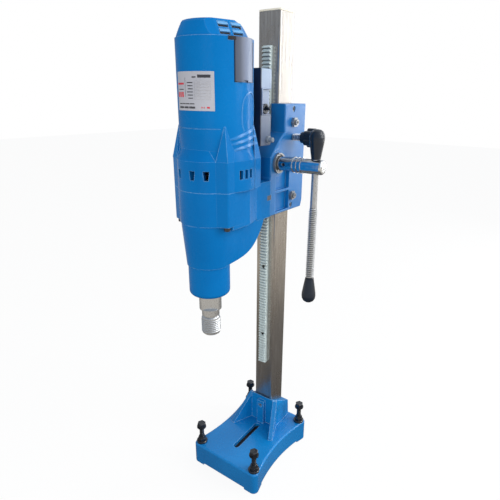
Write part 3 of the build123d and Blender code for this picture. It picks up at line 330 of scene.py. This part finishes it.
MATS = {
    "blue": paint("blue_gloss_paint", BLUE_DARK, BLUE_LIGHT, BLUE_EDGE_HIGHLIGHT, 0.26, 0.03, 0.12, 700.0),
    "blue_cast": paint(
        "blue_paint_on_casting", (0.0020, 0.158, 0.44), (0.0040, 0.205, 0.54), (0.42, 0.66, 0.90),
        0.26, 0.3, 0.35, 420.0, 0.0016, 0.3
    ),
    "blue_side": paint(
        "blue_paint_on_carriage", BLUE_DARK, BLUE_LIGHT, BLUE_EDGE_HIGHLIGHT, 0.34, 0.16, 0.6, 380.0, 0.0014, 0.35
    ),
    # painted highlight: a lighter copy of the blue paint for the louvre lips
    "lip": paint(
        "louvre_lip_paint", (0.06, 0.27, 0.58), (0.12, 0.36, 0.66), (0.5, 0.7, 0.9), 0.35, 0.3, 0.9, 260.0
    ),
    # painted shade: near black for dark sheets and plugs set where only shade falls
    "painted_shade": plastic("painted_shade_black", (0.004, 0.004, 0.006), (0.010, 0.010, 0.014), 0.7),
    "ink": plastic("label_ink", (0.03, 0.03, 0.04), (0.06, 0.06, 0.07), 0.5),
    "ink_red": plastic("label_red_ink", (0.55, 0.02, 0.04), (0.65, 0.04, 0.06), 0.5),
    "ink_grey": plastic("label_grey_ink", (0.42, 0.42, 0.45), (0.5, 0.5, 0.53), 0.5),
    "column": column_material(),
    # the rack takes painted shade on its down-facing tooth flanks
    "rack": metal(
        "rack_zinc", (0.66, 0.78, 0.78), (0.86, 0.97, 0.97), 0.34, (1, 1, 1), 300.0, 0.2,
        metallic=0.25, flanks=True
    ),
    "cream": plastic("cream_cap", (0.70, 0.66, 0.54), (0.78, 0.74, 0.62), 0.5),
    "black_steel": paint(
        "black_oxide", (0.003, 0.005, 0.009), (0.008, 0.011, 0.016), (0.09, 0.11, 0.15),
        0.22, 0.5, 0.15, 500.0, 0.0006, 0.5
    ),
    "chrome": metal("chrome_plate", (0.60, 0.63, 0.66), (0.72, 0.75, 0.78), 0.14, (1, 1, 1), 200.0, 0.03),
    "bright": metal("bright_steel", (0.62, 0.64, 0.66), (0.78, 0.80, 0.82), 0.3, (1, 1, 1), 500.0, 0.12),
    "grip": plastic("grip_black", (0.003, 0.008, 0.017), (0.007, 0.014, 0.027), 0.30, 900.0, 0.10),
    "grey": brush_cover_material(),
    "label": plastic("label_white", (0.37, 0.38, 0.43), (0.42, 0.43, 0.48), 0.35, 300.0, 0.03, 0.0003),
    "dark_cover": plastic("switch_cover_navy", (0.008, 0.012, 0.03), (0.014, 0.02, 0.045), 0.4),
    "light_grey": switch_box_material(),
    "gland": plastic("cable_gland_grey", (0.17, 0.21, 0.26), (0.24, 0.28, 0.33), 0.45),
    "bronze": metal("bronze", (0.50, 0.33, 0.14), (0.62, 0.43, 0.20), 0.35),
    "gear": metal("gear_steel", (0.34, 0.34, 0.35), (0.48, 0.48, 0.49), 0.3, (1, 1, 1), 600.0, 0.1),
    "copper": metal("enamelled_copper", (0.42, 0.14, 0.05), (0.58, 0.22, 0.09), 0.3, (1, 1, 6), 700.0, 0.4),
    "lamination": metal(
        "laminations", (0.07, 0.07, 0.075), (0.16, 0.16, 0.165), 0.45, (0.05, 0.05, 40), 60.0, 0.4
    ),
    "carbon": plastic("carbon", (0.01, 0.01, 0.01), (0.02, 0.02, 0.02), 0.6),
    "bar": metal(
        "bar_zinc", (0.40, 0.41, 0.43), (0.54, 0.56, 0.58), 0.30, (1, 1, 0.2), 500.0, 0.1, metallic=0.85
    ),
    # painted shade: a dark core between the bright thread ridges
    "root": metal(
        "thread_root_shade", (0.06, 0.065, 0.08), (0.10, 0.105, 0.12), 0.4, (1, 1, 1), 500.0, 0.1, metallic=0.6
    ),
    "nut": metal(
        "nut_zinc", (0.26, 0.27, 0.28), (0.40, 0.41, 0.42), 0.34, (1, 1, 1), 500.0, 0.15, metallic=0.8
    ),
    # painted highlight: a lighter copy of the blue paint, so the rib crests read as lit
    "rib": paint(
        "blue_rib_paint", (0.002, 0.140, 0.41), (0.004, 0.175, 0.48), (0.40, 0.64, 0.90),
        0.24, 0.15, 0.1, 700.0, 0.0006, 0.3
    ),
    "key": metal(
        "key_steel", (0.08, 0.08, 0.09), (0.13, 0.13, 0.14), 0.4, (1, 1, 1), 500.0, 0.15, metallic=0.3
    ),
    "bolt": bolt_material(),
    "rubber": plastic("seal_rubber", (0.008, 0.008, 0.008), (0.014, 0.014, 0.014), 0.6),
    "cast": metal("cast_aluminium", (0.36, 0.36, 0.37), (0.48, 0.48, 0.49), 0.5, (1, 1, 1), 250.0, 0.5),
}

SLOT_MAT = {
    "blue_casting": "blue",
    "base_casting": "blue_cast",
    "column_steel": "column",
    "rack_steel": "rack",
    "cap_cream": "cream",
    "black_steel": "black_steel",
    "chrome": "chrome",
    "bright_steel": "bright",
    "grip_black": "grip",
    "grey_plastic": "grey",
    "label": "label",
    "dark_cover": "dark_cover",
    "light_grey": "light_grey",
    "gland_grey": "gland",
    "bronze": "bronze",
    "gear_steel": "gear",
    "copper": "copper",
    "lamination": "lamination",
    "carbon": "carbon",
    "seal_rubber": "rubber",
    "cast_grey": "cast",
}

NODE_SLOT = {entry["node"]: entry["material_slot"] for entry in frame["record"]["subparts"]}


def dress(obj, mat):
    """Give an object one material in place of what it has."""
    obj.data.materials.clear()
    obj.data.materials.append(mat)


NODE_MAT = {"levelling_bolt_" + corner: "bolt" for corner in ("fl", "fr", "bl", "br")}
# the lock stud takes the dark root: painted shade between its thread ridges
NODE_MAT |= {"carriage": "blue_side", "flange_key": "key", "lock_stud": "root"}
NODE_MAT |= {node: "nut" for node in ("pad_nuts", "pad_screws", "feed_bushes")}

for node, obj in frame["nodes"].items():
    dress(obj, MATS[NODE_MAT.get(node, SLOT_MAT[NODE_SLOT[node]])])


# ---------------------------------------------------------------- added detail
def new_object(name, shape, mat, body):
    """Object from a Builder's shapes, riding on a body."""
    mesh = bpy.data.meshes.new(name)
    mesh.from_pydata([tuple(v) for v in shape.verts], [], shape.faces)
    mesh.update()
    obj = bpy.data.objects.new(name, mesh)
    bpy.context.scene.collection.objects.link(obj)
    dress(obj, MATS[mat])
    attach(obj, body)
    return obj


def on_barrel(angle, z, radius):
    """Point at an angle in degrees round the motor's axis."""
    turn = math.radians(angle)
    return Vector((MOTOR.x + radius * math.cos(turn), MOTOR.y + radius * math.sin(turn), z))


class Builder:
    """Collects closed shapes into one mesh."""

    def __init__(self):
        self.verts = []
        self.faces = []

    def sweep(self, rings):
        """Skin a list of equal rings of points and cap both ends."""
        start = len(self.verts)
        size = len(rings[0])
        for ring in rings:
            self.verts.extend(ring)
        count = len(rings)
        for i in range(count - 1):
            a = start + i * size
            b = a + size
            for j in range(size):
                k = (j + 1) % size
                self.faces.append((a + j, a + k, b + k, b + j))
        self.faces.append(tuple(start + j for j in reversed(range(size))))
        self.faces.append(tuple(start + (count - 1) * size + j for j in range(size)))

    def patch(self, angle0, angle1, z0, z1, radius, thick=0.00015):
        """Thin curved plate on the barrel."""
        rings = []
        pieces = 6
        for i in range(pieces + 1):
            angle = angle0 + (angle1 - angle0) * i / pieces
            inner = [on_barrel(angle, z, radius) for z in (z0, z1)]
            outer = [on_barrel(angle, z, radius + thick) for z in (z1, z0)]
            rings.append(inner + outer)
        self.sweep(rings)


def helix(name, to_world, radius, start, length, pitch, height, body, flank=0.46, crest=0.12):
    """Bright screw thread standing proud of a rod, running out at both ends.

    flank and crest are half widths of the ridge at its foot and top, as shares of the pitch.
    """
    shape = Builder()
    steps_per_turn = 40
    steps = int(length / pitch * steps_per_turn)
    foot = radius - 0.0002
    rings = []
    for i in range(steps + 1):
        share = i / steps
        along = start + length * share
        turn = 2 * math.pi * length * share / pitch
        fade = min(1.0, share * length / pitch * 1.5, (1 - share) * length / pitch * 1.5)
        top = radius + height * fade
        ring = []
        for r, dz in ((foot, -flank), (top, -crest), (top, crest), (foot, flank)):
            ring.append(to_world(r * math.cos(turn), r * math.sin(turn), along + dz * pitch))
        rings.append(ring)
    shape.sweep(rings)
    new_object(name, shape, "bright", body)


def housing_surface():
    """Search tree of the motor housing's mesh."""
    mesh = frame["nodes"]["motor_housing"].data
    return BVHTree.FromPolygons([v.co for v in mesh.vertices], [p.vertices for p in mesh.polygons])


def rib(surface, path, side, above, below, height):
    """Raised line laid on the housing; path holds (angle, z) pairs for the right hand side."""
    rings = []
    count = len(path)
    sunk = -0.0004
    outside = 0.09
    for i, (angle, z) in enumerate(path):
        turn = math.radians(angle if side > 0 else 180 - angle)
        out = Vector((math.cos(turn), math.sin(turn), 0))
        fade = min(1.0, 0.15 + 2.5 * min(i, count - 1 - i) / count)
        ring = []
        ahead = path[min(i + 1, count - 1)]
        behind = path[max(i - 1, 0)]
        run = math.radians(ahead[0] - behind[0]) * BARREL_R
        rise = ahead[1] - behind[1]
        length = math.hypot(run, rise)
        across_turn = -rise / length
        across_z = run / length
        top = height * fade
        for offset, lift in ((above, sunk), (0.15 * below, top), (-0.6 * below, top), (-below, sunk)):
            step = across_turn * offset / BARREL_R
            bearing = turn + (step if side > 0 else -step)
            ray = Vector((math.cos(bearing), math.sin(bearing), 0))
            level = z + across_z * offset
            origin = MOTOR + ray * outside + Vector((0, 0, level))
            hit = surface.ray_cast(origin, -ray)[0]
            if hit is None:
                hit = MOTOR + ray * BARREL_R + Vector((0, 0, level))
            ring.append(hit + out * lift)
        if side < 0:
            ring.reverse()
        rings.append(ring)
    shape = Builder()
    shape.sweep(rings)
    return shape


def smooth_path(points, steps):
    """Catmull-Rom curve through the given points."""
    points = [points[0]] + list(points) + [points[-1]]
    path = []
    for i in range(1, len(points) - 2):
        a, b, c, d = points[i - 1 : i + 3]
        for k in range(steps):
            t = k / steps
            point = []
            for p, q, r, w in zip(a, b, c, d):
                square = (2 * p - 5 * q + 4 * r - w) * t * t
                cube = (3 * q - p - 3 * r + w) * t**3
                point.append(0.5 * (2 * q + (r - p) * t + square + cube))
            path.append(tuple(point))
    path.append(points[-2])
    return path


# raised lines on the right of the housing: degrees round the motor's axis, height in metres
SWOOSH_TOP = [(-29, 0.7108), (-20, 0.7120), (-8, 0.7153), (8, 0.7195), (24, 0.7222), (38, 0.7235)]
SWOOSH_MID = [(-27, 0.7034), (-17, 0.7046), (-4, 0.7070), (10, 0.7098), (25, 0.7115), (37, 0.7122)]
SWOOSH_LOW = [(-23, 0.6952), (-13, 0.6962), (0, 0.6984), (14, 0.7002), (26, 0.7010), (36, 0.7014)]
ARCH = [
    (-4.5, 0.7222), (-8.5, 0.732), (-9, 0.750), (-6, 0.766), (2, 0.7752), (11, 0.778),
    (20, 0.7752), (28, 0.766), (31, 0.750), (31, 0.736), (28, 0.7250),
]


def build_housing_ribs():
    """Three sweeping lines and an arch on each side of the housing."""
    surface = housing_surface()
    for side, tag in ((1, "right"), (-1, "left")):
        for label, points, above, below, height in (
            ("top", SWOOSH_TOP, 0.0045, 0.0014, 0.0013),
            ("mid", SWOOSH_MID, 0.0045, 0.0014, 0.0013),
            ("low", SWOOSH_LOW, 0.0045, 0.0014, 0.0013),
            ("arch", ARCH, 0.0012, 0.0024, 0.0010),
        ):
            shape = rib(surface, smooth_path(points, 8), side, above, below, height)
            new_object(f"housing_rib_{label}_{tag}", shape, "rib", "carriage")


def build_louvre_lips():
    """Hooded lips over the cap slots: closed wedges leaning out at the foot, with dark wedges of painted
    shade in the slot openings under them.
    """
    lean = math.radians(30)
    for angle, way, tag in ((-21, 1, "right"), (201, -1, "left")):
        turn = math.radians(angle)
        out = Vector((math.cos(turn) * math.cos(lean), math.sin(turn) * math.cos(lean), math.sin(lean)))
        across_axis = Vector((-math.sin(turn), math.cos(turn), 0))
        up_axis = out.cross(across_axis)
        foot = on_barrel(angle, CAP_FOOT, 0.0514)
        lips = Builder()
        shade_pieces = Builder()
        for across in (-0.0094 * way, 0.0122 * way):
            for up in (0.0068, 0.0180):
                centre = foot + across_axis * across + up_axis * up
                rows = []
                for x in (-0.0082, -0.0078, 0.0078, 0.0082):
                    inset = 0.0004 if abs(x) > 0.008 else 0.0
                    outline = (
                        (0.0043, -0.0013),
                        (0.0041, -0.0002 - inset),
                        (-0.0004, 0.0016 - inset),
                        (-0.0010, 0.0012 - inset),
                        (-0.0009, -0.0013),
                    )
                    side = centre + across_axis * x
                    rows.append([side + up_axis * rise + out * lift for rise, lift in outline])
                lips.sweep(rows)
                # painted shade: a dark wedge fills each slot opening under its lip
                rows = []
                outline = ((-0.0008, -0.0022), (-0.0008, -0.0012), (-0.0043, -0.0012), (-0.0043, -0.0022))
                for x in (-0.0078, 0.0078):
                    side = centre + across_axis * x
                    rows.append([side + up_axis * rise + out * lift for rise, lift in outline])
                shade_pieces.sweep(rows)
        new_object("louvre_lips_" + tag, lips, "lip", "carriage")
        new_object("louvre_shade_" + tag, shade_pieces, "painted_shade", "carriage")


def build_label_print():
    """Plain bars and boxes standing for the printing on the rating plate, in degrees and metres."""
    radius = BARREL_R + 0.00046
    dark = Builder()
    red = Builder()
    grey = Builder()
    dark.patch(-75.0, -56.0, 0.7955, 0.7995, radius)
    dark.patch(-84.0, -77.5, 0.7955, 0.7972, radius)
    red.patch(-116.0, -100.0, 0.7865, 0.7890, radius)
    dark.patch(-113.0, -101.0, 0.7795, 0.7806, radius)
    for i in range(3):
        red.patch(-116.0 + 5.6 * i, -112.4 + 5.6 * i, 0.7695, 0.7765, radius)
    dark.patch(-97.2, -96.8, 0.7700, 0.7955, radius)
    for i in range(6):
        z = 0.7885 - 0.0042 * i
        dark.patch(-93.5 + (i % 3), -83.0, z, z + 0.0012, radius)
        for z_line in (z - 0.0012, z + 0.0024):
            grey.patch(-80.5, -56.0, z_line, z_line + 0.0004, radius)
        grey.patch(-80.5, -80.1, z - 0.0012, z + 0.0026, radius)
        grey.patch(-56.4, -56.0, z - 0.0012, z + 0.0026, radius)
        grey.patch(-77.5 + (i % 2), -71.0, z + 0.0003, z + 0.0012, radius)
        grey.patch(-63.0, -59.0 + (i % 2), z + 0.0003, z + 0.0012, radius)
    for start, end in ((-113, -106), (-105, -98), (-97, -90), (-89, -81)):
        dark.patch(start, end, 0.7598, 0.7612, radius)
    for start, end in ((-113, -102), (-100.5, -92), (-90.5, -80)):
        dark.patch(start, end, 0.7540, 0.7568, radius)
    for start, end in ((-70, -68.6), (-66.5, -65.5), (-62, -58)):
        red.patch(start, end, 0.7545, 0.7568, radius)
    new_object("label_bars", dark, "ink", "carriage")
    new_object("label_marks", red, "ink_red", "carriage")
    new_object("label_table", grey, "ink_grey", "carriage")


def build_brush_cover_shade():
    """Painted shade: dark strips along the joint round each brush cover, and dark sheets in the gaps above
    and below it.
    """
    foot = 0.7912
    head = 0.8452
    thick = 0.0009
    shade_pieces = ((-30.6, -19.2, 0.8451, 0.8496, 0.00112), (-7.6, 1.6, 0.7910, 0.7934, -0.0020))
    shape = Builder()
    for centre in (0, 180):
        for a0, a1, z0, z1, lift in shade_pieces:
            start, end = (a0, a1) if centre == 0 else (180 - a1, 180 - a0)
            shape.patch(start, end, z0, z1, BARREL_R + lift, 0.0002)
        for edge in (-21.3, 21.3):
            shape.patch(centre + edge - 0.55, centre + edge + 0.55, foot, head, BARREL_R, thick)
        for a0, a1 in ((-21.7, -7.9), (1.9, 21.7)):
            start, end = (a0, a1) if centre == 0 else (180 - a1, 180 - a0)
            shape.patch(start, end, 0.7908, 0.7920, BARREL_R, thick)
    new_object("brush_cover_shade", shape, "painted_shade", "carriage")


def build_bar():
    """Plain upper rod with a coarse rolled thread on its lower half and a spigot for the grip.

    Each profile is a list of radius and height, from the top down.
    """
    sides = 32
    joint_z = 0.5892
    core_r = 0.0058
    rod = (
        (0.0052, 0.702), (0.006, 0.7012), (0.006, 0.6900),
        (0.006, 0.6400), (0.006, 0.5900), (0.006, joint_z),
    )
    # the thread core takes the dark root: painted shade between the thread ridges
    core = (
        (0.0056, joint_z), (core_r, 0.5886), (core_r, 0.4560),
        (0.005, 0.4545), (0.005, 0.429), (0.004, 0.428),
    )
    for name, profile, mat in (("bar_rod", rod, "bar"), ("bar_thread_core", core, "root")):
        shape = Builder()
        rings = []
        for radius, z in profile:
            ring = []
            for k in range(sides):
                turn = -2 * math.pi * k / sides
                ring.append(Vector((BAR_X + radius * math.cos(turn), FEED.y + radius * math.sin(turn), z)))
            rings.append(ring)
        shape.sweep(rings)
        new_object(name, shape, mat, "handle")
    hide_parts("feed_bar")

    def on_bar(a, b, h):
        return Vector((BAR_X + a, FEED.y + b, h))

    helix(
        "bar_thread", on_bar, core_r, start=0.4552, length=0.1325, pitch=0.0039, height=0.0017,
        body="handle", flank=0.40, crest=0.20,
    )


def build_socket_shades():
    """Painted shade: dark plugs in the hollow of the hexagon sockets in the guide screws, and a dark sheet
    for the depth under the base slot.
    """
    hexagon_r = 0.0027
    shape = Builder()
    for z, end in ((0.752, 0.0405), (0.729, 0.051), (0.594, 0.051), (0.575, 0.0405)):
        rings = []
        for x in (end - 0.0039, end - 0.0008):
            ring = []
            for k in range(6):
                turn = math.pi * k / 3
                ring.append(Vector((x, hexagon_r * math.cos(turn), z + hexagon_r * math.sin(turn))))
            rings.append(ring)
        shape.sweep(rings)
    new_object("guide_screw_socket_shade", shape, "painted_shade", "carriage")
    sides = 24
    end_r = 0.009
    end_y = 0.040
    shape = Builder()
    rings = []
    for z in (0.0375, 0.0395):
        ring = []
        for k in range(sides):
            turn = 2 * math.pi * k / sides
            end = end_y if math.sin(turn) > 0 else -end_y
            ring.append(Vector((end_r * math.cos(turn), SLOT_Y + end + end_r * math.sin(turn), z)))
        rings.append(ring)
    shape.sweep(rings)
    new_object("slot_shade", shape, "painted_shade", "stand")


def build_threads():
    """Screw threads on the locking stud and the spindle nose, lying on the plain CAD cylinders."""

    def on_stud(a, b, h):
        return Vector((h, a, LOCK_Z + b))

    def on_spindle(a, b, h):
        return Vector((SPINDLE.x + a, SPINDLE.y + b, h))

    helix(
        "lock_stud_thread", on_stud, 0.005, start=0.0426, length=0.0184, pitch=0.0034, height=0.0011,
        body="lock", flank=0.34, crest=0.16,
    )
    helix(
        "spindle_thread", on_spindle, 0.015875, start=0.3712, length=0.0294, pitch=0.00363, height=0.0012,
        body="spindle",
    )


# ---------------------------------------------------------------- floor, light, camera
def build_stage():
    """Pale floor. Seen directly it is near white. To all other rays it glows as a painted reflection,
    with painted shade near the object, so that the steel keeps its tone.
    """
    mesh = bpy.data.meshes.new("floor")
    size = 8.0
    level = -0.0005
    corners = [(x * size, y * size, level) for x, y in ((-1, -1), (1, -1), (1, 1), (-1, 1))]
    mesh.from_pydata(corners, [], [(0, 1, 2, 3)])
    floor = bpy.data.objects.new("floor", mesh)
    bpy.context.scene.collection.objects.link(floor)
    n = Nodes("floor_pale")
    n.put(n.bsdf, "Base Color", (0.80, 0.80, 0.80, 1))
    n.put(n.bsdf, "Roughness", 0.8)
    n.put(n.bsdf, "Specular IOR Level", 0.0)
    glow = n.add("ShaderNodeEmission")
    n.put(glow, "Color", (1.0, 1.0, 1.0, 1))
    n.put(glow, "Strength", 1.0)
    pale = n.add("ShaderNodeMixShader")
    n.put(pale, 0, 0.92)
    n.tree.links.new(n.bsdf.outputs[0], pale.inputs[1])
    n.tree.links.new(glow.outputs[0], pale.inputs[2])
    # painted reflection and painted shade: a glow seen by every ray except the camera's, darker near the
    # object
    reflected_glow = n.add("ShaderNodeEmission")
    place = n.add("ShaderNodeNewGeometry")
    reach = n.add("ShaderNodeVectorMath", operation="LENGTH")
    n.link(place, "Position", reach, 0)
    distance = n.span(reach, "Value", 0.0, 2.0)
    greys = [(0.1, (0.15, 0.14, 0.13)), (0.3, (0.20, 0.185, 0.17)), (0.7, (0.80, 0.74, 0.65))]
    tone = n.ramp(distance, 0, greys)
    n.link(tone, 0, reflected_glow, "Color")
    n.put(reflected_glow, "Strength", 1.0)
    path = n.add("ShaderNodeLightPath")
    choice = n.add("ShaderNodeMixShader")
    n.tree.links.new(path.outputs["Is Camera Ray"], choice.inputs[0])
    n.tree.links.new(reflected_glow.outputs[0], choice.inputs[1])
    n.tree.links.new(pale.outputs[0], choice.inputs[2])
    n.tree.links.new(choice.outputs[0], n.out.inputs[0])
    floor.data.materials.append(n.mat)


def area(name, at, target, size, power, glossy=True):
    """Rectangular light turned towards a point; a light that isn't glossy leaves no reflection."""
    light = bpy.data.lights.new(name, "AREA")
    light.shape = "RECTANGLE"
    light.size, light.size_y = size
    light.energy = power
    obj = bpy.data.objects.new(name, light)
    obj.location = at
    obj.visible_glossy = glossy
    obj.rotation_euler = (Vector(target) - Vector(at)).to_track_quat("-Z", "Y").to_euler()
    bpy.context.scene.collection.objects.link(obj)


def build_world():
    """White to the camera. As light it is bright behind and to the right, and dimmer in front."""
    world = bpy.data.worlds.new("studio")
    bpy.context.scene.world = world
    world.use_nodes = True
    tree = world.node_tree
    tree.nodes.clear()
    out = tree.nodes.new("ShaderNodeOutputWorld")
    coord = tree.nodes.new("ShaderNodeTexCoord")
    dot = tree.nodes.new("ShaderNodeVectorMath")
    dot.operation = "DOT_PRODUCT"
    dot.inputs[1].default_value = (0.70, 0.68, 0.22)
    tree.links.new(coord.outputs["Generated"], dot.inputs[0])
    ramp = tree.nodes.new("ShaderNodeValToRGB")
    stops = (
        (0.0, (0.30, 0.33, 0.37)),
        (0.45, (0.33, 0.36, 0.40)),
        (0.72, (0.80, 0.83, 0.87)),
        (0.95, (1.0, 1.0, 1.0)),
    )
    while len(ramp.color_ramp.elements) < len(stops):
        ramp.color_ramp.elements.new(0.5)
    for element, (pos, colour) in zip(ramp.color_ramp.elements, stops):
        element.position = pos
        element.color = (*colour, 1)
    half = tree.nodes.new("ShaderNodeMapRange")
    half.inputs["From Min"].default_value = -1.0
    tree.links.new(dot.outputs["Value"], half.inputs["Value"])
    tree.links.new(half.outputs[0], ramp.inputs[0])
    lit = tree.nodes.new("ShaderNodeBackground")
    lit.inputs[1].default_value = 1.15
    tree.links.new(ramp.outputs[0], lit.inputs[0])
    white = tree.nodes.new("ShaderNodeBackground")
    white.inputs[0].default_value = (1, 1, 1, 1)
    path = tree.nodes.new("ShaderNodeLightPath")
    mix = tree.nodes.new("ShaderNodeMixShader")
    tree.links.new(path.outputs["Is Camera Ray"], mix.inputs[0])
    tree.links.new(lit.outputs[0], mix.inputs[1])
    tree.links.new(white.outputs[0], mix.inputs[2])
    tree.links.new(mix.outputs[0], out.inputs[0])


def build_lights():
    """The surrounding light and four lamps."""
    build_world()
    area("key", (1.9, 0.7, 1.5), (0, -0.1, 0.5), (0.9, 1.6), 27)
    area("front", (0.7, -2.2, 0.9), (0, -0.1, 0.5), (1.2, 1.4), 25, glossy=False)
    area("top", (0.2, -0.6, 2.6), (0, -0.1, 0.3), (1.0, 1.0), 2.5, glossy=False)
    area("edge_strip", (0.9, 2.0, 1.1), (0, 0, 0.6), (0.3, 1.8), 16)


def build_camera():
    """Camera at the viewing angle given at the top."""
    az = math.radians(CAM_TURN)
    tilt = math.radians(CAM_TILT)
    roll = math.radians(CAM_ROLL)
    look = Vector((-math.sin(az) * math.cos(tilt), math.cos(az) * math.cos(tilt), -math.sin(tilt)))
    right = Vector((math.cos(az), math.sin(az), 0))
    up = right.cross(look)
    x_axis = right * math.cos(roll) + up * math.sin(roll)
    y_axis = up * math.cos(roll) - right * math.sin(roll)
    matrix = Matrix((x_axis, y_axis, -look)).transposed().to_4x4()
    matrix.translation = CAM_AT
    data = bpy.data.cameras.new("camera")
    data.lens = CAM_LENS
    data.sensor_width = 36.0
    data.shift_x, data.shift_y = CAM_SHIFT
    camera = bpy.data.objects.new("camera", data)
    camera.matrix_world = matrix
    bpy.context.scene.collection.objects.link(camera)
    bpy.context.scene.camera = camera
    bpy.context.scene.view_settings.view_transform = "Standard"


build_housing_ribs()
build_louvre_lips()
build_label_print()
build_brush_cover_shade()
build_threads()
build_bar()
build_socket_shades()
build_stage()
build_lights()
build_camera()
